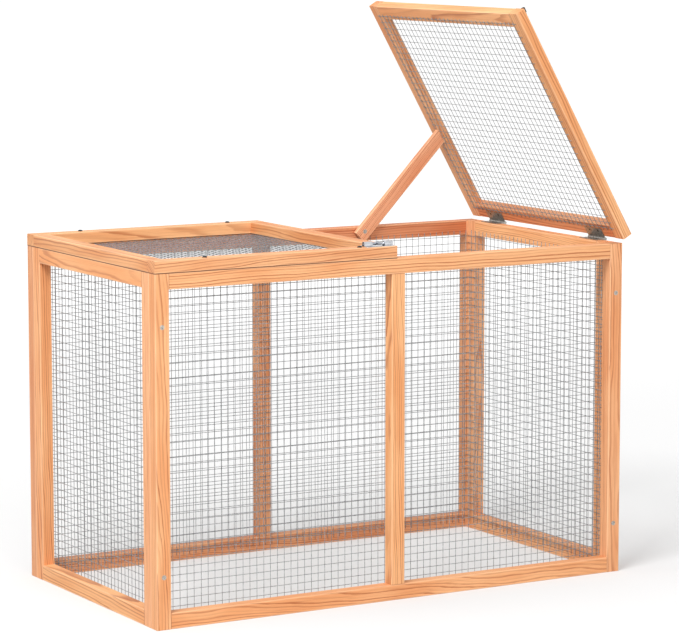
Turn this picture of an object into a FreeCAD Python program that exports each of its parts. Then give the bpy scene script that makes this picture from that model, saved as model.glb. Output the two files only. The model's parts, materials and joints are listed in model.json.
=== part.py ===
import FreeCAD, Part
import math
import os

import Sketcher
from FreeCAD import Placement, Rotation, Vector

# A small-animal run: four timber and wire-mesh walls, no floor, a fixed roof panel over the left half
# and a hinged lid over the right half, held open by a wooden prop.
# Right along the front is +X, towards the back wall is +Y, up is +Z.
# The origin is under the middle of the part, on the surface that it stands on.

SIZES = {
    "frame_width": 892.0,
    "frame_depth": 478.0,
    "frame_height": 570.0,
    "panel_thickness": 22.0,
    "stile_width": 25.0,
    "rail_width": 26.0,
    "roof_gap": 3.0,
    "roof_thickness": 20.0,
    "lid_thickness": 18.0,
    "lid_angle": 60.0,
    "edge_radius": 1.2,
    "mesh_pitch": 12.7,
    "mesh_wire": 1.0,
    "mesh_overlap": 10.0,
    "mesh_side_gap": 0.5,
    "lid_mesh_inset": 16.0,
    "front_lowest_wire": 17.8,
    "back_lowest_wire": 20.4,
    "left_lowest_wire": 19.2,
    "right_lowest_wire": 21.9,
    "hinge_length": 50.0,
    "hinge_inset": 82.0,
    "leaf_width": 15.5,
    "leaf_thickness": 1.0,
    "leaf_gap": 0.4,
    "knuckle_radius": 2.8,
    "knuckle_offset": 4.6,
    "knuckle_gap": 0.3,
    "pin_radius": 1.3,
    "pin_clearance": 0.05,
    "prop_length": 248.0,
    "prop_width": 26.0,
    "prop_thickness": 8.0,
    "prop_foot_inset": 265.8,
    "prop_foot_drop": 9.8,
    "prop_gap": 0.5,
    "prop_standoff": 2.3,
    "prop_screw_inset": 15.0,
    "prop_screw_gap": 0.3,
    "stop_inset": 172.0,
    "stop_length": 13.0,
    "stop_width": 1.7,
    "stop_height": 10.0,
    "panel_screw_length": 40.0,
    "panel_screw_radius": 2.0,
    "panel_screw_head": 4.0,
    "panel_screw_height": 85.0,
    "roof_screw_length": 38.0,
    "roof_screw_head": 4.0,
    "roof_screw_dome": 2.2,
    "roof_screw_left": 94.0,
    "roof_screw_right": 65.0,
    "small_screw_radius": 1.5,
    "small_screw_head": 2.3,
    "small_screw_length": 13.0,
    "bolt_length": 54.0,
    "bolt_width": 22.0,
    "bolt_sheet": 1.0,
    "bolt_radius": 2.5,
    "bolt_clearance": 0.5,
    "bolt_axis_height": 4.4,
    "bolt_end_gap": 3.0,
    "bolt_mouth": 15.5,
    "bolt_screw_margin": 3.2,
    "bolt_rod_inset": 0.5,
    "bolt_rod_bevel": 0.5,
    "knob_place": 23.0,
    "knob_radius": 2.4,
    "knob_reach": 9.0,
    "knob_rise": 20.0,
    "keeper_length": 8.0,
    "keeper_inset": 2.0,
}

doc = FreeCAD.newDocument("RabbitHutch")
sheet = doc.addObject("Spreadsheet::Sheet", "Sizes")
for row, (name, value) in enumerate(SIZES.items(), start=1):
    sheet.set(f"A{row}", name)
    sheet.set(f"B{row}", str(value))
    sheet.setAlias(f"B{row}", name)
doc.recompute()

NODES = []


def size(name):
    return float(getattr(sheet, name))


WIDTH = size("frame_width")
DEPTH = size("frame_depth")
HEIGHT = size("frame_height")
PANEL = size("panel_thickness")
STILE = size("stile_width")
RAIL = size("rail_width")
LID_LEFT = WIDTH / 2
ROOF_LENGTH = WIDTH / 2 - size("roof_gap")
ROOF_TOP = HEIGHT + size("roof_thickness")
LEAF = size("leaf_thickness")

# The hinge leaves lie between the right wall and the lid, so the lid rides two leaves and their gap up.
LID_BOTTOM = HEIGHT + 2 * LEAF + size("leaf_gap")
LID_TOP = LID_BOTTOM + size("lid_thickness")
AXIS_X = WIDTH + size("knuckle_offset")
AXIS_Z = HEIGHT + LEAF + size("leaf_gap") / 2
OPENING = math.radians(size("lid_angle"))

# Right-hand extent of the opened lid, which decides the middle of the part.
LID_REACH = AXIS_X - size("knuckle_offset") * math.cos(OPENING) + (LID_TOP - AXIS_Z) * math.sin(OPENING)
ORIGIN = Vector(LID_REACH / 2, DEPTH / 2, 0)

SWING = Placement(Vector(0, 0, 0), Rotation(Vector(0, 1, 0), size("lid_angle")), Vector(AXIS_X, 0, AXIS_Z))


def from_corner(x, y, z, turn=Rotation()):
    """A place given from the front left foot of the frame."""
    return Placement(Vector(x, y, z) - ORIGIN, turn)


def on_lid(x, y, z, turn=Rotation()):
    """A place given on the closed lid, swung open about the hinge."""
    opened = SWING.multiply(Placement(Vector(x, y, z), turn))
    return Placement(opened.Base - ORIGIN, opened.Rotation)


def bind(target, prop, expression):
    target.setExpression(prop, expression)


def cell(name):
    return f"Sizes.{name}"


def origin_plane(body, role):
    return next(feature for feature in body.Origin.OriginFeatures if feature.Role == role)


def new_body(label):
    body = doc.addObject("PartDesign::Body", label)
    body.Label = label
    return body


def new_sketch(body, name, role="XY_Plane", offset=0.0):
    sketch = body.newObject("Sketcher::SketchObject", f"{body.Name}_{name}")
    sketch.AttachmentSupport = [(origin_plane(body, role), "")]
    sketch.MapMode = "FlatFace"
    sketch.AttachmentOffset = Placement(Vector(0, 0, offset), Rotation())
    return sketch


def polygon(sketch, points):
    """Closed outline through the points; returns nothing, its lines are 0, 1, 2 and so on."""
    corners = [Vector(x, y, 0) for x, y in points]
    count = len(corners)
    for index in range(count):
        sketch.addGeometry(Part.LineSegment(corners[index], corners[(index + 1) % count]), False)
    for index in range(count):
        sketch.addConstraint(Sketcher.Constraint("Coincident", index, 2, (index + 1) % count, 1))


def rectangle(sketch, width, depth, left=0.0, low=0.0):
    """Rectangle whose width and depth are sheet expressions, with its near corner at left, low."""
    polygon(sketch, [(left, low), (left + 10, low), (left + 10, low + 10), (left, low + 10)])
    for line, direction in ((0, "Horizontal"), (1, "Vertical"), (2, "Horizontal"), (3, "Vertical")):
        sketch.addConstraint(Sketcher.Constraint(direction, line))
    for axis, place in (("DistanceX", left), ("DistanceY", low)):
        if abs(place) > 1e-9:
            sketch.addConstraint(Sketcher.Constraint(axis, -1, 1, 0, 1, place))
        else:
            other = 2 if axis == "DistanceX" else 1
            sketch.addConstraint(Sketcher.Constraint("PointOnObject", 0, 1, -other))
    across = sketch.addConstraint(Sketcher.Constraint("DistanceX", 0, 1, 0, 2, 10.0))
    along = sketch.addConstraint(Sketcher.Constraint("DistanceY", 1, 1, 1, 2, 10.0))
    bind(sketch, f"Constraints[{across}]", width)
    bind(sketch, f"Constraints[{along}]", depth)


def circles(sketch, points, radius):
    """Circles of one radius, a sheet expression, centred on the points."""
    for index, (x, y) in enumerate(points):
        sketch.addGeometry(Part.Circle(Vector(x, y, 0), Vector(0, 0, 1), 1.0), False)
        sketch.addConstraint(Sketcher.Constraint("DistanceX", -1, 1, index, 3, x))
        sketch.addConstraint(Sketcher.Constraint("DistanceY", -1, 1, index, 3, y))
        round_size = sketch.addConstraint(Sketcher.Constraint("Radius", index, 1.0))
        bind(sketch, f"Constraints[{round_size}]", radius)


def pad(body, sketch, length):
    feature = body.newObject("PartDesign::Pad", f"{sketch.Name}_pad")
    feature.Profile = sketch
    bind(feature, "Length", length)
    sketch.Visibility = False
    doc.recompute()
    return feature


def pocket(body, sketch, depth):
    """Pocket of the given depth, turned to whichever side of the sketch holds material."""
    before = body.Shape.Volume
    feature = body.newObject("PartDesign::Pocket", f"{sketch.Name}_cut")
    feature.Profile = sketch
    bind(feature, "Length", depth)
    doc.recompute()
    if feature.Shape.isNull() or feature.Shape.Volume > before - 1e-6:
        feature.Reversed = True
        doc.recompute()
    if feature.Shape.isNull() or feature.Shape.Volume > before - 1e-6:
        raise RuntimeError(f"{feature.Name} cuts nothing")
    return feature


def edges_along(shape, axis):
    """Names of the straight edges parallel to an axis."""
    names = []
    for number, edge in enumerate(shape.Edges, start=1):
        if edge.Curve.TypeId == "Part::GeomLine" and abs(abs(edge.Curve.Direction.dot(axis)) - 1) < 1e-6:
            names.append(f"Edge{number}")
    return names


def ease(body, feature, axis):
    """Rounded long edges, as planed timber has."""
    rounded = body.newObject("PartDesign::Fillet", f"{body.Name}_eased")
    rounded.Base = (feature, edges_along(feature.Shape, axis))
    bind(rounded, "Radius", cell("edge_radius"))
    doc.recompute()
    return rounded


def countersink(body, feature, axis, level, radius, size_expression):
    """Cone at the mouth of each hole of the given radius whose rim lies at level along axis."""
    names = []
    for number, edge in enumerate(feature.Shape.Edges, start=1):
        if edge.Curve.TypeId != "Part::GeomCircle" or abs(edge.Curve.Radius - radius) > 1e-3:
            continue
        if abs(edge.Curve.Center.dot(axis) - level) < 1e-3:
            names.append(f"Edge{number}")
    bevel = body.newObject("PartDesign::Chamfer", f"{feature.Name}_countersink")
    bevel.Base = (feature, names)
    bind(bevel, "Size", size_expression)
    doc.recompute()
    return bevel


LONG_AXES = {"x": Vector(1, 0, 0), "y": Vector(0, 1, 0), "z": Vector(0, 0, 1)}


def stick(label, spans, place, long_axis, holes=()):
    """A planed timber of the three spans, eased along its length, with any screw holes.

    Each hole set is (plane, points in that plane, level along the plane's normal, depth, radius,
    head), where head is None or the countersink's size, cut where the screws enter.
    """
    body = new_body(label)
    outline = new_sketch(body, "section")
    rectangle(outline, spans[0], spans[1])
    solid = pad(body, outline, spans[2])
    solid = ease(body, solid, LONG_AXES[long_axis])
    for index, (plane, points, level, depth, radius, head) in enumerate(holes):
        # The XZ plane of a body faces -Y, so levels along Y change sign there.
        offset = -level if plane == "XZ_Plane" else level
        drill = new_sketch(body, f"holes{index}", plane, offset)
        circles(drill, points, cell(radius))
        solid = pocket(body, drill, depth)
        if head:
            normal = {"XY_Plane": LONG_AXES["z"], "XZ_Plane": LONG_AXES["y"]}[plane]
            solid = countersink(body, solid, normal, level, size(radius), head)
    body.Tip = solid
    body.Placement = place
    NODES.append(body)
    return body


# ---------------------------------------------------------------------------------------------------
# Walls. The front and back walls cover the ends of the side walls, and each is a frame of two stiles
# with a top and a bottom rail between them; the long walls also have a centre stile.

SCREW_HEIGHTS = (size("panel_screw_height"), HEIGHT - size("panel_screw_height"))
PILOT_DEPTH = f"{cell('panel_screw_length')} - {cell('panel_thickness')}"
SCREW_HEAD = f"{cell('panel_screw_head')} - {cell('panel_screw_radius')}"
SIDE_SCREW_X = STILE / 2
INNER_HEIGHT = f"{cell('frame_height')} - 2 * {cell('rail_width')}"
LONG_RAIL = f"{cell('frame_width')} - 2 * {cell('stile_width')}"
SIDE_RAIL = f"{cell('frame_depth')} - 2 * {cell('panel_thickness')} - 2 * {cell('stile_width')}"
ROOF_PILOT = f"{cell('roof_screw_length')} - {cell('roof_thickness')}"
ROOF_SCREW_X = (size("roof_screw_left"), ROOF_LENGTH - size("roof_screw_right"))
ROOF_SCREW_Y = PANEL / 2


def long_wall(side, y_near, outer_level):
    """Front or back wall; outer_level is the outer face along the wall's own thickness."""
    section = (cell("stile_width"), cell("panel_thickness"))
    for corner, x in (("left", 0.0), ("right", WIDTH - STILE)):
        points = [(SIDE_SCREW_X, height) for height in SCREW_HEIGHTS]
        depth = cell("panel_thickness")
        holes = [("XZ_Plane", points, outer_level, depth, "panel_screw_radius", SCREW_HEAD)]
        spans = (*section, cell("frame_height"))
        stick(f"{side}_{corner}_stile", spans, from_corner(x, y_near, 0), "z", holes)
    centre_x = (WIDTH - STILE) / 2
    stick(f"{side}_centre_stile", (*section, INNER_HEIGHT), from_corner(centre_x, y_near, RAIL), "z")
    rail = (LONG_RAIL, cell("panel_thickness"), cell("rail_width"))
    points = [(x - STILE, ROOF_SCREW_Y) for x in ROOF_SCREW_X]
    holes = [("XY_Plane", points, RAIL, ROOF_PILOT, "panel_screw_radius", None)]
    stick(f"{side}_top_rail", rail, from_corner(STILE, y_near, HEIGHT - RAIL), "x", holes)
    stick(f"{side}_bottom_rail", rail, from_corner(STILE, y_near, 0), "x")


def short_wall(side, x_near, top_holes=()):
    """Left or right wall, between the long walls."""
    screw_x = SIDE_SCREW_X if side == "left" else PANEL - SIDE_SCREW_X
    stile = (cell("panel_thickness"), cell("stile_width"), cell("frame_height"))
    points = [(screw_x, height) for height in SCREW_HEIGHTS]
    for end, y, level in (("front", PANEL, 0.0), ("back", DEPTH - PANEL - STILE, STILE)):
        holes = [("XZ_Plane", points, level, PILOT_DEPTH, "panel_screw_radius", None)]
        stick(f"{side}_{end}_stile", stile, from_corner(x_near, y, 0), "z", holes)
    rail = (cell("panel_thickness"), SIDE_RAIL, cell("rail_width"))
    rail_y = PANEL + STILE
    stick(f"{side}_top_rail", rail, from_corner(x_near, rail_y, HEIGHT - RAIL), "y", top_holes)
    stick(f"{side}_bottom_rail", rail, from_corner(x_near, rail_y, 0), "y")


# Screws stand in two rows near the ends of each hinge, at the middle of the wall's thickness.
HINGE_CENTRES = (size("hinge_inset"), DEPTH - size("hinge_inset"))
HINGE_SCREW_STEP = size("hinge_length") / 4
HINGE_SCREW_Y = [centre + side * HINGE_SCREW_STEP for centre in HINGE_CENTRES for side in (-1, 1)]
HINGE_SCREW_X = WIDTH - PANEL / 2
SMALL_PILOT = f"{cell('small_screw_length')} - {cell('leaf_thickness')}"
hinge_pilots = [("XY_Plane", [(PANEL / 2, y - PANEL - STILE) for y in HINGE_SCREW_Y], RAIL, SMALL_PILOT,
                 "small_screw_radius", None)]

long_wall("front", 0.0, 0.0)
long_wall("back", DEPTH - PANEL, PANEL)
short_wall("left", 0.0)
short_wall("right", WIDTH - PANEL, hinge_pilots)


# ---------------------------------------------------------------------------------------------------
# Welded wire mesh: two layers of wires, each layer a thin grid closed by its end wires.

PITCH = size("mesh_pitch")
WIRE = size("mesh_wire")
SLOT = f"{cell('mesh_pitch')} - {cell('mesh_wire')}"


def wire_layer(label, length, gaps, place):
    """Wires along local X, spaced along local Y, centred on the origin and one wire thick."""
    body = new_body(label)
    span = f"{gaps} * {cell('mesh_pitch')} + {cell('mesh_wire')}"
    low = -(gaps * PITCH + WIRE) / 2
    plate = new_sketch(body, "plate")
    rectangle(plate, str(length), span, -length / 2, low)
    pad(body, plate, cell("mesh_wire"))
    slot = new_sketch(body, "slot")
    rectangle(slot, f"{length} - 2 * {cell('mesh_wire')}", SLOT, -length / 2 + WIRE, low + WIRE)
    first = pocket(body, slot, cell("mesh_wire"))
    pattern = body.newObject("PartDesign::LinearPattern", f"{label}_wires")
    pattern.Originals = [first]
    pattern.Direction = (origin_plane(body, "Y_Axis"), [""])
    bind(pattern, "Length", f"{gaps - 1} * {cell('mesh_pitch')}")
    pattern.Occurrences = gaps
    body.Tip = pattern
    doc.recompute()
    body.Placement = place
    return body


def wire_mesh(label, along, across, along_gaps, across_gaps, place):
    """A mesh centred in its local XY plane, two wires thick from there along local Z."""
    quarter = Placement(Vector(0, 0, WIRE), Rotation(Vector(0, 0, 1), 90))
    rows = wire_layer(f"{label}_rows", along, across_gaps, place)
    columns = wire_layer(f"{label}_columns", across, along_gaps, place.multiply(quarter))
    mesh = doc.addObject("Part::Compound", label)
    mesh.Label = label
    mesh.Links = [rows, columns]
    doc.recompute()
    NODES.append(mesh)


# Every mesh laps the inner faces of its frame: the side walls' between the long walls' own meshes.
MESH_INSET = PANEL + size("mesh_side_gap")
WALL_ROWS = int((HEIGHT - RAIL - RAIL / 2) / PITCH)
WALL_RUN = WALL_ROWS * PITCH + WIRE + 2 * size("mesh_overlap")
LONG_RUN = WIDTH - 2 * MESH_INSET
SIDE_RUN = DEPTH - 2 * MESH_INSET - 4 * WIRE
CROSS_RUN = DEPTH - 2 * MESH_INSET
ROOF_MESH_RIGHT = ROOF_LENGTH - size("mesh_overlap")
ROOF_RUN = ROOF_MESH_RIGHT - MESH_INSET
LID_RUN = WIDTH - LID_LEFT - 2 * size("lid_mesh_inset")
LID_CROSS_RUN = DEPTH - 2 * size("lid_mesh_inset")


def even_gaps(run):
    """Most gaps that fit in a run with a wire at its middle."""
    return 2 * int((run / 2 - WIRE) / PITCH)


ALONG_X = Rotation(Vector(1, 0, 0), 90)
ALONG_Y = Rotation(Vector(1, 1, 1), 120)


def wall_middle(side):
    return size(f"{side}_lowest_wire") + WALL_ROWS * PITCH / 2


for side, y in (("front", PANEL + 2 * WIRE), ("back", DEPTH - PANEL)):
    middle = from_corner(WIDTH / 2, y, wall_middle(side), ALONG_X)
    wire_mesh(f"{side}_mesh", LONG_RUN, WALL_RUN, even_gaps(LONG_RUN), WALL_ROWS, middle)
for side, x in (("left", PANEL), ("right", WIDTH - PANEL - 2 * WIRE)):
    middle = from_corner(x, DEPTH / 2, wall_middle(side), ALONG_Y)
    wire_mesh(f"{side}_mesh", SIDE_RUN, WALL_RUN, even_gaps(SIDE_RUN), WALL_ROWS, middle)

roof_middle = from_corner((MESH_INSET + ROOF_MESH_RIGHT) / 2, DEPTH / 2, HEIGHT - 2 * WIRE)
wire_mesh("roof_mesh", ROOF_RUN, CROSS_RUN, even_gaps(ROOF_RUN), even_gaps(CROSS_RUN), roof_middle)
lid_middle = on_lid((LID_LEFT + WIDTH) / 2, DEPTH / 2, LID_BOTTOM - 2 * WIRE)
wire_mesh("lid_mesh", LID_RUN, LID_CROSS_RUN, even_gaps(LID_RUN), even_gaps(LID_CROSS_RUN), lid_middle)


# ---------------------------------------------------------------------------------------------------
# Roof panel and lid: long rails run the full length at the front and the back, short ones between.

BOLT_RIGHT = ROOF_LENGTH - size("bolt_end_gap")
BOLT_LEFT = BOLT_RIGHT - size("bolt_length")
BOLT_Y = RAIL / 2
BOLT_SCREW_IN = size("bolt_mouth") / 2
BOLT_SCREW_OUT = size("bolt_width") / 2 - size("bolt_screw_margin")
BOLT_SCREW_X = (BOLT_LEFT + BOLT_SCREW_IN, BOLT_RIGHT - BOLT_SCREW_IN)
BOLT_SCREWS = [(x, BOLT_Y + side * BOLT_SCREW_OUT) for x in BOLT_SCREW_X for side in (-1, 1)]
KEEPER_LEFT = LID_LEFT + size("keeper_inset")
KEEPER_X = KEEPER_LEFT + size("keeper_length") / 2
KEEPER_SCREWS = [(KEEPER_X, BOLT_Y + side * BOLT_SCREW_OUT) for side in (-1, 1)]
BOLT_PILOT = f"{cell('small_screw_length')} - {cell('bolt_sheet')}"
CROSS_RAIL = f"{cell('frame_depth')} - 2 * {cell('rail_width')}"


def through(points, level, depth):
    return ("XY_Plane", points, level, depth, "panel_screw_radius", None)


def pilots(points, level, depth):
    return ("XY_Plane", points, level, depth, "small_screw_radius", None)


roof_run = f"{cell('frame_width')} / 2 - {cell('roof_gap')}"
roof_long = (roof_run, cell("rail_width"), cell("roof_thickness"))
roof_cross = (cell("rail_width"), CROSS_RAIL, cell("roof_thickness"))
ROOF_THICKNESS = size("roof_thickness")
front_holes = [(x, ROOF_SCREW_Y) for x in ROOF_SCREW_X]
back_holes = [(x, RAIL - ROOF_SCREW_Y) for x in ROOF_SCREW_X]
roof_depth = cell("roof_thickness")
stick("roof_front_rail", roof_long, from_corner(0, 0, HEIGHT), "x",
      [through(front_holes, ROOF_THICKNESS, roof_depth), pilots(BOLT_SCREWS, ROOF_THICKNESS, BOLT_PILOT)])
stick("roof_back_rail", roof_long, from_corner(0, DEPTH - RAIL, HEIGHT), "x",
      [through(back_holes, ROOF_THICKNESS, roof_depth)])
stick("roof_left_rail", roof_cross, from_corner(0, RAIL, HEIGHT), "y")
stick("roof_right_rail", roof_cross, from_corner(ROOF_LENGTH - RAIL, RAIL, HEIGHT), "y")

lid_long = (f"{cell('frame_width')} / 2", cell("rail_width"), cell("lid_thickness"))
lid_cross = (cell("rail_width"), CROSS_RAIL, cell("lid_thickness"))
keeper_pilots = [(x - LID_LEFT, y) for x, y in KEEPER_SCREWS]
lid_hinge_pilots = [(RAIL - PANEL / 2, y - RAIL) for y in HINGE_SCREW_Y]
stick("lid_front_rail", lid_long, on_lid(LID_LEFT, 0, LID_BOTTOM), "x",
      [pilots(keeper_pilots, size("lid_thickness"), BOLT_PILOT)])
stick("lid_back_rail", lid_long, on_lid(LID_LEFT, DEPTH - RAIL, LID_BOTTOM), "x")
stick("lid_free_rail", lid_cross, on_lid(LID_LEFT, RAIL, LID_BOTTOM), "y")
stick("lid_hinge_rail", lid_cross, on_lid(WIDTH - RAIL, RAIL, LID_BOTTOM), "y",
      [pilots(lid_hinge_pilots, 0.0, SMALL_PILOT)])

# Small stop block beside the prop's end, flat on the inner side of the lid's back rail.
stop_block = doc.addObject("Part::Box", "lid_stop_block")
stop_block.Label = "lid_stop_block"
bind(stop_block, "Length", cell("stop_length"))
bind(stop_block, "Width", cell("stop_width"))
bind(stop_block, "Height", cell("stop_height"))
stop_block.Placement = on_lid(WIDTH - size("stop_inset"), DEPTH - RAIL - size("stop_width"), LID_BOTTOM)
NODES.append(stop_block)


# ---------------------------------------------------------------------------------------------------
# Screws: one master of each kind, and a compound of its copies for each group.

def revolved(label, profile):
    """Body turned about Z from a half outline of (radius, height) points."""
    body = new_body(label)
    half = new_sketch(body, "profile", "XZ_Plane")
    polygon(half, profile)
    for index, (radius, height) in enumerate(profile):
        half.addConstraint(Sketcher.Constraint("DistanceX", -1, 1, index, 1, radius))
        half.addConstraint(Sketcher.Constraint("DistanceY", -1, 1, index, 1, height))
    turned = body.newObject("PartDesign::Revolution", f"{label}_turned")
    turned.Profile = half
    turned.ReferenceAxis = (half, ["V_Axis"])
    turned.Angle = 360.0
    doc.recompute()
    return body


def cross_slots(body, top, reach, depth):
    """Crossed driver slots in a head whose top lies at the height top."""
    slots = new_sketch(body, "slots", "XY_Plane", top)
    half = reach / 6
    quarter = [(half, -half), (reach, -half), (reach, half)]
    turns = ((1, 0), (0, 1), (-1, 0), (0, -1))
    polygon(slots, [(x * cos - y * sin, x * sin + y * cos) for cos, sin in turns for x, y in quarter])
    for index in range(12):
        slots.addConstraint(Sketcher.Constraint("Block", index))
    pocket(body, slots, str(depth))


def flat_screw(label, length, radius, head):
    """Countersunk screw hanging from the origin, its head flush with Z = 0."""
    sink = head - radius
    body = revolved(label, [(0, -length), (radius, -length + radius), (radius, -sink), (head, 0), (0, 0)])
    cross_slots(body, 0.0, head * 0.6, sink * 0.5)
    return body


def dome_screw(label, length, radius, head, dome):
    """Screw hanging from the origin with a raised head that stands on Z = 0."""
    shank = [(0, -length), (radius, -length + radius), (radius, 0)]
    body = revolved(label, shank + [(head, 0), (head, dome * 0.4), (head * 0.6, dome), (0, dome)])
    cross_slots(body, dome, head * 0.5, dome * 0.5)
    return body


def group(label, master, places):
    """Node of separate copies of one master shape."""
    node = doc.addObject("Part::Feature", label)
    node.Label = label
    node.Shape = Part.makeCompound([master.Shape.transformed(place.toMatrix()) for place in places])
    NODES.append(node)


TOWARDS_FRONT = Rotation(Vector(1, 0, 0), 90)
TOWARDS_BACK = Rotation(Vector(1, 0, 0), -90)
UPSIDE_DOWN = Rotation(Vector(1, 0, 0), 180)

panel_screw = flat_screw("panel_screw_master", size("panel_screw_length"), size("panel_screw_radius"),
                         size("panel_screw_head"))
roof_screw = dome_screw("roof_screw_master", size("roof_screw_length"), size("panel_screw_radius"),
                        size("roof_screw_head"), size("roof_screw_dome"))
small_screw = flat_screw("small_screw_master", size("small_screw_length"), size("small_screw_radius"),
                         size("small_screw_head"))

corners_x = (SIDE_SCREW_X, WIDTH - SIDE_SCREW_X)
panel_places = [from_corner(x, 0, height, TOWARDS_FRONT) for x in corners_x for height in SCREW_HEIGHTS]
panel_places += [from_corner(x, DEPTH, height, TOWARDS_BACK) for x in corners_x for height in SCREW_HEIGHTS]
group("panel_screws", panel_screw, panel_places)
group("roof_screws", roof_screw,
      [from_corner(x, y, ROOF_TOP) for x in ROOF_SCREW_X for y in (ROOF_SCREW_Y, DEPTH - ROOF_SCREW_Y)])
group("hinge_frame_screws", small_screw,
      [from_corner(HINGE_SCREW_X, y, HEIGHT + LEAF) for y in HINGE_SCREW_Y])
group("hinge_lid_screws", small_screw,
      [on_lid(HINGE_SCREW_X, y, LID_BOTTOM - LEAF, UPSIDE_DOWN) for y in HINGE_SCREW_Y])
SHEET = size("bolt_sheet")
group("bolt_screws", small_screw, [from_corner(x, y, ROOF_TOP + SHEET) for x, y in BOLT_SCREWS])
group("keeper_screws", small_screw, [on_lid(x, y, LID_TOP + SHEET) for x, y in KEEPER_SCREWS])


# ---------------------------------------------------------------------------------------------------
# Butt hinges: a leaf on the right wall, a leaf under the lid and a pin through their knuckles.

KNUCKLE = size("knuckle_radius")
KNUCKLE_GAP = size("knuckle_gap")
HINGE = size("hinge_length")
LEAF_WIDTH = size("leaf_width")
THIRD = HINGE / 3
BORE = size("pin_radius") + size("pin_clearance")
OUTER_KNUCKLES = ((0, THIRD - KNUCKLE_GAP / 2), (2 * THIRD + KNUCKLE_GAP / 2, HINGE))
MIDDLE_KNUCKLE = ((THIRD + KNUCKLE_GAP / 2, 2 * THIRD - KNUCKLE_GAP / 2),)
ROD_AXIS = Vector(0, 1, 0)


def hinge_leaf(knuckles, low, start):
    """Leaf of a closed hinge: plate from low up, wrapped into its own knuckles, with screw holes."""
    clear_x = AXIS_X - KNUCKLE - KNUCKLE_GAP
    plate_left = WIDTH - LEAF_WIDTH
    shape = Part.makeBox(clear_x - plate_left, HINGE, LEAF, Vector(plate_left, start, low))
    for first, last in knuckles:
        neck = Part.makeBox(AXIS_X - clear_x, last - first, LEAF, Vector(clear_x, start + first, low))
        barrel = Part.makeCylinder(KNUCKLE, last - first, Vector(AXIS_X, start + first, AXIS_Z), ROD_AXIS)
        shape = shape.fuse(neck).fuse(barrel)
    shape = shape.cut(Part.makeCylinder(BORE, HINGE, Vector(AXIS_X, start, AXIS_Z), ROD_AXIS))
    return shape.removeSplitter()


def screw_cuts(points, mouth, downwards):
    """Countersunk holes for small screws whose heads are flush with the level mouth."""
    radius = size("small_screw_radius")
    head = size("small_screw_head")
    sink = head - radius
    turn = -1 if downwards else 1
    cuts = []
    for x, y in points:
        down = Vector(0, 0, turn)
        cone = Part.makeCone(head, radius, sink, Vector(x, y, mouth), down)
        hole = Part.makeCylinder(radius, 4.0, Vector(x, y, mouth), down)
        cuts.append(cone.fuse(hole))
    return Part.makeCompound(cuts)


def feature(label, shape, place):
    node = doc.addObject("Part::Feature", label)
    node.Label = label
    node.Shape = shape
    node.Placement = place
    NODES.append(node)


screw_points = [(HINGE_SCREW_X, y) for y in HINGE_SCREW_Y]
frame_cuts = screw_cuts(screw_points, HEIGHT + LEAF, True)
lid_cuts = screw_cuts(screw_points, LID_BOTTOM - LEAF, False)
for side, centre in zip(("front", "back"), HINGE_CENTRES):
    start = centre - HINGE / 2
    frame_leaf = hinge_leaf(OUTER_KNUCKLES, HEIGHT, start).cut(frame_cuts)
    feature(f"{side}_hinge_frame_leaf", frame_leaf, from_corner(0, 0, 0))
    lid_leaf = hinge_leaf(MIDDLE_KNUCKLE, LID_BOTTOM - LEAF, start).cut(lid_cuts)
    feature(f"{side}_hinge_lid_leaf", lid_leaf, on_lid(0, 0, 0))
    pin = doc.addObject("Part::Cylinder", f"{side}_hinge_pin")
    pin.Label = f"{side}_hinge_pin"
    bind(pin, "Radius", cell("pin_radius"))
    bind(pin, "Height", cell("hinge_length"))
    pin.Placement = from_corner(AXIS_X, start, AXIS_Z, TOWARDS_BACK)
    NODES.append(pin)


# ---------------------------------------------------------------------------------------------------
# Barrel bolt on the roof panel, sliding towards the lid, and its keeper on the lid.

BOLT_RADIUS = size("bolt_radius")
BOLT_HOLE = BOLT_RADIUS + size("bolt_clearance")
BOLT_AXIS = size("bolt_axis_height")
ALONG = Vector(1, 0, 0)


def strap(left, length, axis_height, foot_left, foot_length):
    """Guide strap over a rod along X: a flat foot with an arch, all of the bolt's sheet."""
    outer = BOLT_HOLE + SHEET
    width = size("bolt_width")
    foot = Part.makeBox(foot_length, width, SHEET, Vector(foot_left, BOLT_Y - width / 2, 0))
    arch = Part.makeCylinder(outer, length, Vector(left, BOLT_Y, axis_height), ALONG)
    legs = Part.makeBox(length, 2 * outer, axis_height, Vector(left, BOLT_Y - outer, 0))
    bore = Part.makeCylinder(BOLT_HOLE, length, Vector(left, BOLT_Y, axis_height), ALONG)
    slot = Part.makeBox(length, 2 * BOLT_HOLE, axis_height - SHEET, Vector(left, BOLT_Y - BOLT_HOLE, SHEET))
    hollow = bore.fuse(slot)
    return foot.fuse(arch.fuse(legs).cut(hollow))


MOUTH = size("bolt_mouth")
bolt_body = strap(BOLT_LEFT, MOUTH, BOLT_AXIS, BOLT_LEFT, size("bolt_length"))
bolt_body = bolt_body.fuse(strap(BOLT_RIGHT - MOUTH, MOUTH, BOLT_AXIS, BOLT_RIGHT - MOUTH, MOUTH))
bolt_body = bolt_body.cut(screw_cuts(BOLT_SCREWS, SHEET, True)).removeSplitter()
feature("bolt_body", bolt_body, from_corner(0, 0, ROOF_TOP))

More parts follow.
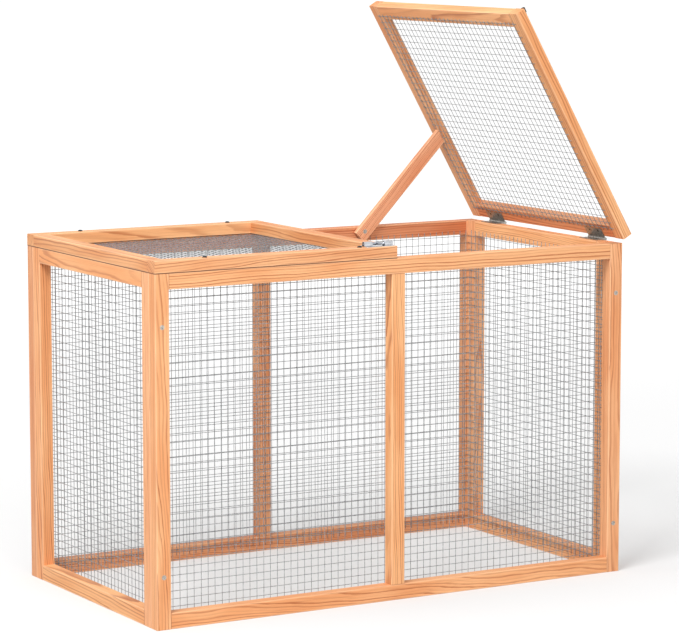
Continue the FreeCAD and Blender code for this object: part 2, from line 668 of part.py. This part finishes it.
ROD_LEFT = BOLT_LEFT + size("bolt_rod_inset")
ROD_LENGTH = size("bolt_length") - 2 * size("bolt_rod_inset")
rod = Part.makeCylinder(BOLT_RADIUS, ROD_LENGTH, Vector(ROD_LEFT, BOLT_Y, BOLT_AXIS), ALONG)
knob_base = Vector(BOLT_LEFT + size("knob_place"), BOLT_Y, BOLT_AXIS)
KNOB_RISE = math.radians(size("knob_rise"))
towards_knob = Vector(0, -math.cos(KNOB_RISE), math.sin(KNOB_RISE))
knob = Part.makeCylinder(size("knob_radius"), size("knob_reach"), knob_base, towards_knob)
rod_edges = [edge for edge in rod.Edges if edge.Curve.TypeId == "Part::GeomCircle"]
rod = rod.makeChamfer(size("bolt_rod_bevel"), rod_edges).fuse(knob).removeSplitter()
feature("bolt_rod", rod, from_corner(0, 0, ROOF_TOP))

# The lid lies a little higher than the roof panel, so the keeper's arch is that much lower.
keeper_axis = ROOF_TOP + BOLT_AXIS - LID_TOP
keeper = strap(KEEPER_LEFT, size("keeper_length"), keeper_axis, KEEPER_LEFT, size("keeper_length"))
keeper = keeper.cut(screw_cuts(KEEPER_SCREWS, SHEET, True)).removeSplitter()
feature("bolt_keeper", keeper, on_lid(0, 0, LID_TOP))


# ---------------------------------------------------------------------------------------------------
# Prop: a flat batten in the plane of the back wall. Its foot laps the wall's top rail and its upper
# end is cut to bear on the lid's underside, so its lean follows from its length and the lid's angle.

PROP_LENGTH = size("prop_length")
PROP_WIDTH = size("prop_width")
PROP_BACK = DEPTH - PANEL - size("prop_standoff")
UNDERSIDE = LID_BOTTOM - 2 * WIRE - size("prop_gap")
foot = Vector(WIDTH - size("prop_foot_inset"), 0, HEIGHT - size("prop_foot_drop"))
along_lid = Vector(-math.cos(OPENING), 0, math.sin(OPENING))
off_lid = Vector(math.sin(OPENING), 0, math.cos(OPENING))
hinge_line = Vector(AXIS_X, 0, AXIS_Z) + off_lid * (UNDERSIDE - AXIS_Z)
offset = hinge_line - foot
along = offset.dot(along_lid)
PROP_REACH = math.sqrt(along ** 2 - offset.dot(offset) + PROP_LENGTH ** 2) - along
lean = hinge_line + along_lid * PROP_REACH - foot
PROP_ANGLE = math.degrees(math.atan2(lean.z, lean.x))
TIP_ANGLE = math.pi - OPENING - math.radians(PROP_ANGLE)

corner = on_lid(AXIS_X - PROP_REACH, PROP_BACK, UNDERSIDE)
# Local X runs from the lid down to the foot, local Y across the batten and local Z towards the front.
prop_turn = Rotation(Vector(0, 1, 0), 180 - PROP_ANGLE).multiply(Rotation(Vector(1, 0, 0), 90))
prop = new_body("prop_batten")
outline = new_sketch(prop, "outline")
slope = PROP_WIDTH / math.tan(TIP_ANGLE)
polygon(outline, [(0, 0), (PROP_LENGTH, 0), (PROP_LENGTH, PROP_WIDTH), (slope, PROP_WIDTH)])
outline.addConstraint(Sketcher.Constraint("Coincident", 0, 1, -1, 1))
outline.addConstraint(Sketcher.Constraint("Horizontal", 0))
outline.addConstraint(Sketcher.Constraint("Vertical", 1))
outline.addConstraint(Sketcher.Constraint("Horizontal", 2))
long_side = outline.addConstraint(Sketcher.Constraint("DistanceX", 0, 1, 0, 2, PROP_LENGTH))
broad_side = outline.addConstraint(Sketcher.Constraint("DistanceY", 1, 1, 1, 2, PROP_WIDTH))
outline.addConstraint(Sketcher.Constraint("DistanceX", 0, 1, 3, 1, slope))
bind(outline, f"Constraints[{long_side}]", cell("prop_length"))
bind(outline, f"Constraints[{broad_side}]", cell("prop_width"))
solid = pad(prop, outline, cell("prop_thickness"))
solid = ease(prop, solid, LONG_AXES["x"])
FOOT_SCREW = (PROP_LENGTH - size("prop_screw_inset"), PROP_WIDTH / 2)
foot_hole = new_sketch(prop, "foot_hole")
circles(foot_hole, [FOOT_SCREW], cell("panel_screw_radius"))
drilled = pocket(prop, foot_hole, cell("prop_thickness"))
front_level = size("prop_thickness")
prop.Tip = countersink(prop, drilled, LONG_AXES["z"], front_level, size("panel_screw_radius"), SCREW_HEAD)
prop.Placement = Placement(corner.Base, prop_turn)
NODES.append(prop)

# The foot's screw stops short of the wall, so that the batten is free to fold with the lid.
foot_shank = size("prop_thickness") + size("prop_standoff") - size("prop_screw_gap")
foot_screw = flat_screw("foot_screw_master", foot_shank, size("panel_screw_radius"), size("panel_screw_head"))
foot_place = prop.Placement.multiply(Placement(Vector(*FOOT_SCREW, size("prop_thickness")), Rotation()))
group("prop_foot_screw", foot_screw, [foot_place])


# ---------------------------------------------------------------------------------------------------

doc.recompute()
for item in doc.Objects:
    if "Invalid" in item.State or "Error" in item.State:
        raise RuntimeError(f"{item.Label} failed: {item.State}")
for node in NODES:
    if node.Shape.isNull() or not node.Shape.isValid() or not node.Shape.Solids:
        raise RuntimeError(f"{node.Label} has no valid solid")

os.makedirs("parts", exist_ok=True)
for node in NODES:
    node.Shape.exportStep(f"parts/{node.Label}.step")
print(len(NODES), "nodes")
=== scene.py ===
import json
import math
import random

import bpy
import numpy as np
from mathutils import Matrix, Vector

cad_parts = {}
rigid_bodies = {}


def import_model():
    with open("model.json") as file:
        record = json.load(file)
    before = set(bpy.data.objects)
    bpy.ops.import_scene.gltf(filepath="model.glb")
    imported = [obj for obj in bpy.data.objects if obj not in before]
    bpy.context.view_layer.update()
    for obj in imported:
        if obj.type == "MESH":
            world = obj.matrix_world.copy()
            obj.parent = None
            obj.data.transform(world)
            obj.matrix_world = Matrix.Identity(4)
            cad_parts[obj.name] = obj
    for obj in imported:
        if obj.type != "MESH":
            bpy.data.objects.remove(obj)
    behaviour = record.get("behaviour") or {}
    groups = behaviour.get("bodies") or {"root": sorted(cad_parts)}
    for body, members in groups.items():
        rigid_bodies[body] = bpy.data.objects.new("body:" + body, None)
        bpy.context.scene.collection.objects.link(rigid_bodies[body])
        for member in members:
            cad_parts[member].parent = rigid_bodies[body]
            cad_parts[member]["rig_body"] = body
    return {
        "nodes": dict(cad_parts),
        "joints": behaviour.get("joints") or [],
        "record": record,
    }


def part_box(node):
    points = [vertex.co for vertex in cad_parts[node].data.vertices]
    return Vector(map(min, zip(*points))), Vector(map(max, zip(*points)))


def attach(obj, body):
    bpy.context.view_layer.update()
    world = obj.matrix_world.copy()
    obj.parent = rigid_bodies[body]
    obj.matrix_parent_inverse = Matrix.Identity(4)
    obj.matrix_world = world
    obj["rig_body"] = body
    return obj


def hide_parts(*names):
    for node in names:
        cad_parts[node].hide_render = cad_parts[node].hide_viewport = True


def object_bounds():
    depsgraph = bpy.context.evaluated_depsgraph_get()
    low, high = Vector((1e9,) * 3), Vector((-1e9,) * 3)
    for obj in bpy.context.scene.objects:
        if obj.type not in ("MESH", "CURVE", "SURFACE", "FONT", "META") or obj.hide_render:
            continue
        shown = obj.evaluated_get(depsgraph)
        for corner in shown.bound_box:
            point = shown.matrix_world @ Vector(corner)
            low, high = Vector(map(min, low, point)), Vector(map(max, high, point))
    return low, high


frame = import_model()
cad_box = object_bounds()
scene = bpy.context.scene
nodes = frame["nodes"]

# The lid is open at rest: closed is its hinge's lower limit.
LID_ANGLE = -math.radians(next(j for j in frame["joints"] if j["name"] == "lid_hinge")["range_deg"][0])
# The welded mesh, in metres: the wires' thickness and the size of its squares.
WIRE = 0.001
PITCH = 0.0127
# How far a wire strays from its place, how short of the CAD wire it ends, and how far its layer is let
# into the other one at the welds.
OUT_OF_TRUE = 0.00012
END_GAP = 0.0002
WELD_SHARE = 0.8


# ------------------------------------------------------------------------------- shader node helpers

class Shader:
    """A new material and short calls that add and join its nodes."""

    def __init__(self, name):
        self.material = bpy.data.materials.new(name)
        self.material.use_nodes = True
        self.tree = self.material.node_tree
        self.surface = self.tree.nodes["Principled BSDF"]
        self.column = 0

    def add(self, kind, inputs=None, **settings):
        node = self.tree.nodes.new(kind)
        self.column += 1
        node.location = (-3600 + 180 * (self.column % 18), 260 * (self.column // 18))
        for key, value in settings.items():
            setattr(node, key, value)
        for key, value in (inputs or {}).items():
            self.feed(node.inputs[key], value)
        return node

    def feed(self, socket, value):
        if isinstance(value, bpy.types.NodeSocket):
            self.tree.links.new(value, socket)
        else:
            socket.default_value = value

    def math(self, operation, a, b=0.0, c=0.0):
        node = self.add("ShaderNodeMath", {0: a, 1: b, 2: c}, operation=operation)
        return node.outputs[0]

    def ramp(self, value, low, high, to_low=0.0, to_high=1.0, smooth=True):
        """Value taken from low..high to to_low..to_high, held at both ends."""
        kind = "SMOOTHSTEP" if smooth else "LINEAR"
        node = self.add("ShaderNodeMapRange", {"Value": value, "From Min": low, "From Max": high,
                                               "To Min": to_low, "To Max": to_high}, interpolation_type=kind)
        return node.outputs["Result"]

    def noise(self, vector, scale, detail=2.0, roughness=0.5):
        node = self.add("ShaderNodeTexNoise", {"Vector": vector, "Scale": scale, "Detail": detail,
                                               "Roughness": roughness})
        return node.outputs["Fac"]

    def stretch(self, vector, scale, offset=(0, 0, 0)):
        node = self.add("ShaderNodeMapping", {"Vector": vector, "Scale": scale, "Location": offset})
        return node.outputs["Vector"]

    def mix(self, factor, a, b, blend="MIX"):
        node = self.add("ShaderNodeMix", data_type="RGBA", blend_type=blend)
        for socket, value in ((node.inputs[0], factor), (node.inputs[6], a), (node.inputs[7], b)):
            self.feed(socket, value)
        return node.outputs[2]

    def bump(self, height, distance, strength):
        inputs = {"Height": height, "Distance": distance, "Strength": strength}
        return self.add("ShaderNodeBump", inputs).outputs["Normal"]

    def set(self, **values):
        for key, value in values.items():
            self.feed(self.surface.inputs[key.replace("_", " ")], value)


def linear(red, green, blue):
    """A colour given as 0 to 255 screen values."""
    def channel(value):
        share = value / 255
        return share / 12.92 if share <= 0.04045 else ((share + 0.055) / 1.055) ** 2.4
    return (channel(red), channel(green), channel(blue), 1.0)


# ----------------------------------------------------------------------------------- the local frames

def vertices(name):
    mesh = nodes[name].data
    points = np.empty(len(mesh.vertices) * 3)
    mesh.vertices.foreach_get("co", points)
    return points.reshape(-1, 3)


def lean_of(name):
    """Turn about Y of a node's body from the frame's axes: the lid's opening or the prop's own lean."""
    if name.startswith("prop"):
        points = vertices("prop_batten")[:, [0, 2]]
        spread = np.linalg.svd(points - points.mean(0), full_matrices=False)[2][0]
        return -math.atan2(spread[1], spread[0])
    return LID_ANGLE if nodes[name]["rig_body"] == "lid" else 0.0


def local_frame(name):
    """(matrix whose rows are the node's long, middle and short axes, centre, half size) in metres."""
    angle = lean_of(name)
    axes = np.array([[math.cos(angle), 0, -math.sin(angle)], [0, 1, 0], [math.sin(angle), 0, math.cos(angle)]])
    turned = vertices(name) @ axes.T
    low, high = turned.min(0), turned.max(0)
    order = np.argsort(low - high)
    rows = axes[order]
    if np.linalg.det(rows) < 0:
        rows[2] = -rows[2]
    centre = axes.T @ ((low + high) / 2)
    return rows, centre, ((high - low) / 2)[order]


# ------------------------------------------------------------------------------------------ materials

# Long sticks whose end faces show.
BARE_ENDS = ("roof_front_rail", "roof_back_rail", "lid_front_rail", "lid_back_rail", "right_front_stile",
             "right_back_stile")


def painted_seam_shadow(shader, colour):
    """Painted shadow: a dark line painted on the frame where the roof panel sits on the walls that it is screwed
    down on, standing in for the shade in the gap between them.
    """
    panel_low, panel_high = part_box("roof_front_rail")
    place = shader.add("ShaderNodeSeparateXYZ", {"Vector": shader.add("ShaderNodeTexCoord").outputs["Object"]})
    rise = shader.math("ABSOLUTE", shader.math("SUBTRACT", place.outputs["Z"], panel_low[2]))
    line = shader.ramp(rise, 0.0003, 0.0013, 0.85, 0.0)
    under = shader.math("LESS_THAN", place.outputs["X"], panel_high[0])
    return shader.mix(shader.math("MULTIPLY", line, under), colour, linear(104, 62, 38))


def pine(name, seed, tone):
    """Planed pine: growth rings round a log's heart beside the stick, fibre streaks, a painted highlight along
    the long edges and painted shade near the butted ends.
    """
    rows, centre, half = local_frame(name)
    chance = random.Random(seed)
    shader = Shader(f"pine_{name}")
    turn = Matrix([list(row) for row in rows]).to_euler()
    shift = -(rows @ centre) * 1000
    # Millimetres along the stick in X, across it in Y and Z, from its middle.
    place = shader.add("ShaderNodeMapping", {
        "Vector": shader.add("ShaderNodeTexCoord").outputs["Object"],
        "Scale": (1000, 1000, 1000), "Rotation": turn, "Location": tuple(shift)}).outputs["Vector"]
    apart = shader.add("ShaderNodeSeparateXYZ", {"Vector": place})
    long, across, through = apart.outputs

    # The heart of the log runs a little askew, which draws arches on the broad faces.
    bearing = chance.uniform(0, 2 * math.pi)
    reach = chance.uniform(26, 70)
    tilt = [chance.choice((-1, 1)) * chance.uniform(0.012, 0.035) for _ in range(2)]
    slide = (chance.uniform(-500, 500), chance.uniform(-500, 500), chance.uniform(-500, 500))
    slow = shader.noise(shader.stretch(place, (0.0042, 0.018, 0.018), slide), 1.0, 2.0)
    sway = shader.math("MULTIPLY", shader.math("SUBTRACT", slow, 0.5), 16.0)
    offsets = []
    for axis, lean, heart in ((across, tilt[0], reach * math.cos(bearing)),
                              (through, tilt[1], reach * math.sin(bearing))):
        leaning = shader.math("MULTIPLY_ADD", long, lean, heart)
        offsets.append(shader.math("ADD", axis, leaning))
    radius = shader.math("SQRT", shader.math("ADD", shader.math("POWER", offsets[0], 2.0),
                                             shader.math("POWER", offsets[1], 2.0)))
    ripple = shader.noise(shader.stretch(place, (0.02, 0.3, 0.3), slide), 1.0, 3.0)
    waved = shader.math("ADD", shader.math("ADD", radius, sway), shader.math("MULTIPLY", ripple, 1.6))
    spacing = chance.uniform(2.8, 4.6)
    phase = shader.math("DIVIDE", waved, spacing)
    ring = shader.math("FRACT", phase)
    rise = shader.ramp(ring, 0.4, 0.88)
    fall = shader.ramp(ring, 0.93, 1.0, 1.0, 0.0)
    late = shader.math("MULTIPLY", rise, fall)
    uneven = shader.add("ShaderNodeTexNoise", {"W": phase, "Scale": 0.7, "Detail": 1.0}, noise_dimensions="1D")
    late = shader.math("MULTIPLY", late, shader.ramp(uneven.outputs["Fac"], 0.35, 0.65, 0.25, 1.0))

    streaks = shader.noise(shader.stretch(place, (0.007, 0.8, 0.8), slide), 1.0, 3.0, 0.6)
    fibres = shader.noise(shader.stretch(place, (0.05, 3.2, 3.2), slide), 1.0, 2.0, 0.6)
    cloud = shader.noise(shader.stretch(place, (0.006, 0.03, 0.03), slide), 1.0, 1.0)

    early = linear(*[c + t for c, t in zip((252, 190, 137), tone)])
    heart_tone = linear(*[c + t for c, t in zip((240, 167, 112), tone)])
    dark = linear(*[c + t for c, t in zip((186, 108, 62), tone)])
    colour = shader.mix(shader.ramp(cloud, 0.35, 0.7), early, heart_tone)
    colour = shader.mix(shader.math("MULTIPLY", late, 0.95), colour, dark)
    colour = shader.mix(shader.ramp(streaks, 0.5, 0.78, 0.0, 0.5), colour, dark)
    colour = shader.mix(shader.ramp(fibres, 0.35, 0.75, 0.0, 0.2), colour, dark)

    # Distances from the long edges and from the ends, in millimetres.
    gaps = [shader.math("SUBTRACT", size * 1000, shader.math("ABSOLUTE", axis))
            for size, axis in zip(half, (long, across, through))]
    edge = shader.math("MAXIMUM", gaps[1], gaps[2])
    # Painted highlight: paler colour along the long edges, broken up by the streaks.
    edge_highlight = shader.ramp(shader.math("ADD", edge, shader.math("MULTIPLY", streaks, -2.0)), 0.0, 2.2, 1.0, 0.0)
    colour = shader.mix(shader.math("MULTIPLY", edge_highlight, 0.35), colour, linear(255, 208, 164))
    # Painted shade: darker near the ends where a stick butts on another, standing in for the shadow in the
    # joint; faint on sticks whose ends show.
    joint_shadow = shader.ramp(gaps[0], 0.15, 0.9, 1.0, 0.0)
    shadow_depth = 0.08 if name in BARE_ENDS else 0.45
    colour = shader.mix(shader.math("MULTIPLY", joint_shadow, shadow_depth), colour, linear(150, 88, 50))
    if nodes[name]["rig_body"] == "frame":
        # Painted shadow of the gap under the roof panel.
        colour = painted_seam_shadow(shader, colour)

    height = shader.math("ADD", shader.math("MULTIPLY", late, 0.6), shader.math("MULTIPLY", fibres, 0.7))
    rough = shader.ramp(shader.math("ADD", late, fibres), 0.2, 1.4, 0.62, 0.48)
    shader.set(Base_Color=colour, Roughness=rough, Normal=shader.bump(height, 0.00012, 0.6))
    shader.surface.inputs["Specular IOR Level"].default_value = 0.4
    return shader.material


def metal(name, base, dark, roughness, scale, metallic=1.0):
    """Plated steel: a mottled coat with fine scratches and duller patches."""
    shader = Shader(name)
    place = shader.add("ShaderNodeTexCoord").outputs["Object"]
    patch = shader.noise(place, scale, 3.0, 0.6)
    fine = shader.noise(place, scale * 9, 2.0, 0.6)
    colour = shader.mix(shader.ramp(patch, 0.35, 0.68), base, dark)
    colour = shader.mix(shader.ramp(fine, 0.5, 0.8, 0.0, 0.5), colour, dark)
    rough = shader.ramp(patch, 0.3, 0.7, roughness[0], roughness[1])
    shader.set(Base_Color=colour, Roughness=rough, Normal=shader.bump(fine, 0.00004, 0.5))
    shader.surface.inputs["Metallic"].default_value = metallic
    return shader.material


def dress(name, material):
    mesh = nodes[name].data
    mesh.materials.clear()
    mesh.materials.append(material)


def shade_smooth(name, angle):
    """Smooth shading across a CAD node's own small facets, its sharp edges kept."""
    mesh = nodes[name].data
    mesh.shade_smooth()
    mesh.set_sharp_from_angle(angle=angle)


wire_metal = metal("galvanised_wire", linear(164, 166, 168), linear(112, 114, 116), (0.38, 0.6), 260, 0.45)
zinc = metal("zinc_plate", linear(186, 182, 176), linear(138, 133, 127), (0.26, 0.46), 320)
screw_zinc = metal("screw_zinc", linear(206, 200, 192), linear(152, 146, 138), (0.3, 0.5), 500)
dull_zinc = metal("dull_zinc", linear(112, 104, 96), linear(66, 61, 56), (0.35, 0.55), 500)
chrome = metal("polished_chrome", linear(214, 215, 219), linear(168, 171, 177), (0.05, 0.14), 70)
black_steel = metal("black_steel", linear(46, 44, 43), linear(24, 23, 23), (0.35, 0.55), 400, 0.6)
for slot_name, material in (("hinge_steel", zinc), ("screw_steel", screw_zinc), ("bolt_chrome", chrome),
                            ("dark_screw", black_steel)):
    for piece in frame["record"]["subparts"]:
        if piece["material_slot"] == slot_name:
            dress(piece["node"], material)
            shade_smooth(piece["node"], math.radians(32))

for name in ("hinge_frame_screws", "hinge_lid_screws", "bolt_screws"):
    dress(name, dull_zinc)

# Boards whose colour lies off the usual one, and how far: their own darker, redder tone, and on the back boards
# also painted shade, for they sit in the run's shade.
BOARD_TONE_AND_SHADE = (("back_top_rail", (-24, -36, -30)), ("back_", (-14, -16, -10)), ("right_top_rail", (-2, -2, -2)),
          ("prop_", (-12, -18, -8)), ("roof_", (-9, -8, -7)), ("lid_hinge_rail", (-16, -20, -14)),
          ("lid_free_rail", (8, 6, 4)))
timber = [piece["node"] for piece in frame["record"]["subparts"]
          if piece["material_slot"] in ("timber", "prop_timber")]
for seed, name in enumerate(sorted(timber), start=11):
    chance = random.Random(1000 + seed)
    lightness = chance.uniform(-5, 4)
    board = next((shift for start, shift in BOARD_TONE_AND_SHADE if name.startswith(start)), (0, 0, 0))
    tone = (lightness + board[0], lightness + board[1] + chance.uniform(-2, 2),
            lightness + board[2] + chance.uniform(-3, 3))
    dress(name, pine(name, seed, tone))


# ----------------------------------------------------------------------------------------- wire mesh

def tubes(lines, radius, sides=6):
    """Vertices and faces of closed tubes: each line is its (count, 3) points and its two cross axes."""
    all_points, all_faces, start = [], [], 0
    for points, side, up in lines:
        turns = np.arange(sides) * 2 * math.pi / sides
        ring = np.cos(turns)[:, None] * side + np.sin(turns)[:, None] * up
        all_points.append((points[:, None, :] + radius * ring[None, :, :]).reshape(-1, 3))
        count = len(points)
        step = np.arange(count - 1)[:, None] * sides
        here = np.arange(sides)[None, :]
        there = (here + 1) % sides
        quads = np.stack([step + here, step + there, step + sides + there, step + sides + here], axis=-1)
        all_faces += (quads.reshape(-1, 4) + start).tolist()
        last = start + (count - 1) * sides
        all_faces.append([start + index for index in range(sides - 1, -1, -1)])
        all_faces.append([last + index for index in range(sides)])
        start += count * sides
    return np.concatenate(all_points), all_faces


def wave(rng, count, size):
    """A slow random sway along a wire."""
    along = np.linspace(0, 1, count)
    total = np.zeros(count)
    for turns in (1, 2, 3, 5):
        total += rng.normal(0, 1 / turns) * np.sin(2 * math.pi * turns * along + rng.uniform(0, 2 * math.pi))
    return size * total


def woven(name, body, seed):
    """Welded mesh of round wires in place of a CAD mesh: the same wires, slightly out of true."""
    rows, centre, half = local_frame(name)
    points = (vertices(name) - centre) @ rows.T
    rng = np.random.default_rng(seed)
    lines = []
    layers = []
    for run, cross in ((0, 1), (1, 0)):
        # The slots of a layer start one wire in from its ends, which tells its wires' places.
        slots = points[np.abs(np.abs(points[:, run]) - (half[run] - WIRE)) < 1e-5]
        other = np.unique(np.round(slots[:, 2], 6))
        layers.append((run, cross, slots[:, cross].min(), slots[:, cross].max(), other.mean()))
    marks = {}
    for _, cross, low, high, _ in layers:
        gaps = round((high - low + WIRE) / PITCH)
        marks[cross] = low - WIRE / 2 + PITCH * np.arange(gaps + 1)
    for run, cross, _, _, level in layers:
        stops = np.concatenate([[-half[run] + END_GAP], marks[run], [half[run] - END_GAP]])
        side = rows[cross]
        for place in marks[cross]:
            line = np.zeros((len(stops), 3))
            line[:, run] = stops
            line[:, cross] = place + wave(rng, len(stops), OUT_OF_TRUE) + rng.normal(0, OUT_OF_TRUE)
            line[:, 2] = level * WELD_SHARE
            lines.append((line @ rows + centre, side, rows[2]))
    mesh_points, faces = tubes(lines, WIRE / 2)
    mesh = bpy.data.meshes.new(f"{name}_wires")
    mesh.from_pydata(mesh_points.tolist(), [], faces)
    mesh.shade_smooth()
    piece = bpy.data.objects.new(f"{name}_wires", mesh)
    scene.collection.objects.link(piece)
    mesh.materials.append(wire_metal)
    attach(piece, body)
    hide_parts(name)


MESHES = (("front_mesh", "frame"), ("back_mesh", "frame"), ("left_mesh", "frame"), ("right_mesh", "frame"),
          ("roof_mesh", "frame"), ("lid_mesh", "lid"))
for seed, (name, body) in enumerate(MESHES, start=40):
    woven(name, body, seed)


# ----------------------------------------------------------------------------------- floor and light

low, high = cad_box
middle = (low + high) / 2


FLOOR_REACH = 40.0
FLOOR_GREY = 0.58
WORLD_STRENGTH = 0.52
# Name, azimuth, elevation, distance, size and power of each lamp.
LAMPS = (("key", -58, 46, 4.8, 2.0, 180), ("front_fill", -15, 20, 5.0, 2.5, 72), ("top", -100, 80, 3.0, 1.2, 15))
CAMERA_PLACE = (-2.6141, -4.5253, 1.1434)
CAMERA_TILT, CAMERA_TURN = math.radians(82.381), math.radians(-30.177)
CAMERA_LENS = 163.85


def directly_seen(tree):
    """1 for rays that show the floor or the world, straight, mirrored or through; 0 for rays that light."""
    path = tree.nodes.new("ShaderNodeLightPath")
    total = path.outputs["Is Camera Ray"]
    for ray in ("Is Glossy Ray", "Is Transmission Ray"):
        more = tree.nodes.new("ShaderNodeMath")
        more.operation = "ADD"
        more.use_clamp = True
        tree.links.new(total, more.inputs[0])
        tree.links.new(path.outputs[ray], more.inputs[1])
        total = more.outputs[0]
    return total


def floor():
    """A wide pale floor that takes the object's shadow and shows white to the camera where it is lit."""
    corners = [(x * FLOOR_REACH, y * FLOOR_REACH, 0) for x, y in ((-1, -1), (1, -1), (1, 1), (-1, 1))]
    mesh = bpy.data.meshes.new("floor")
    mesh.from_pydata(corners, [], [(0, 1, 2, 3)])
    piece = bpy.data.objects.new("floor", mesh)
    piece.location = (0, 0, low.z)
    scene.collection.objects.link(piece)
    shader = Shader("floor")
    mesh.materials.append(shader.material)
    tree = shader.tree
    tree.nodes.remove(shader.surface)
    matt = shader.add("ShaderNodeBsdfDiffuse", {"Color": (FLOOR_GREY, FLOOR_GREY, FLOOR_GREY, 1)})
    distance = shader.add("ShaderNodeVectorMath", {0: shader.add("ShaderNodeTexCoord").outputs["Object"]},
                          operation="LENGTH").outputs["Value"]
    near = shader.ramp(distance, 0.25, 1.4, 0.25, 0.45, smooth=False)
    lift = shader.math("ADD", near, shader.ramp(distance, 1.3, 4.5, 0.0, 0.3))
    strength = shader.math("MULTIPLY", directly_seen(tree), lift)
    glow = shader.add("ShaderNodeEmission", {"Color": (1, 1, 1, 1), "Strength": strength})
    both = shader.add("ShaderNodeAddShader", {0: matt.outputs[0], 1: glow.outputs[0]})
    output = next(node for node in tree.nodes if node.type == "OUTPUT_MATERIAL")
    tree.links.new(both.outputs[0], output.inputs["Surface"])


floor()


def world_light(strength):
    world = bpy.data.worlds.new("studio")
    scene.world = world
    world.use_nodes = True
    tree = world.node_tree
    background = tree.nodes["Background"]
    level = tree.nodes.new("ShaderNodeMapRange")
    level.inputs["To Min"].default_value = strength
    level.inputs["To Max"].default_value = 1.0
    tree.links.new(directly_seen(tree), level.inputs["Value"])
    background.inputs["Color"].default_value = (1, 1, 1, 1)
    tree.links.new(level.outputs[0], background.inputs["Strength"])


def soft_box(name, azimuth, elevation, distance, size, power):
    """Square area lamp that faces the object's middle; azimuth 0 is in front, 90 to the right."""
    turn, climb = math.radians(azimuth), math.radians(elevation)
    away = Vector((math.sin(turn) * math.cos(climb), -math.cos(turn) * math.cos(climb), math.sin(climb)))
    lamp = bpy.data.lights.new(name, "AREA")
    lamp.energy = power
    lamp.size = size
    holder = bpy.data.objects.new(name, lamp)
    holder.location = middle + away * distance
    holder.rotation_euler = (-away).to_track_quat("-Z", "Y").to_euler()
    scene.collection.objects.link(holder)


world_light(WORLD_STRENGTH)
for values in LAMPS:
    soft_box(*values)


# -------------------------------------------------------------------------------------------- camera

camera = bpy.data.cameras.new("camera")
camera.sensor_width = 36
camera.lens = CAMERA_LENS
camera.clip_end = 200
viewer = bpy.data.objects.new("camera", camera)
viewer.location = CAMERA_PLACE
viewer.rotation_euler = (CAMERA_TILT, 0, CAMERA_TURN)
scene.collection.objects.link(viewer)
scene.camera = viewer
scene.view_settings.view_transform = "Standard"
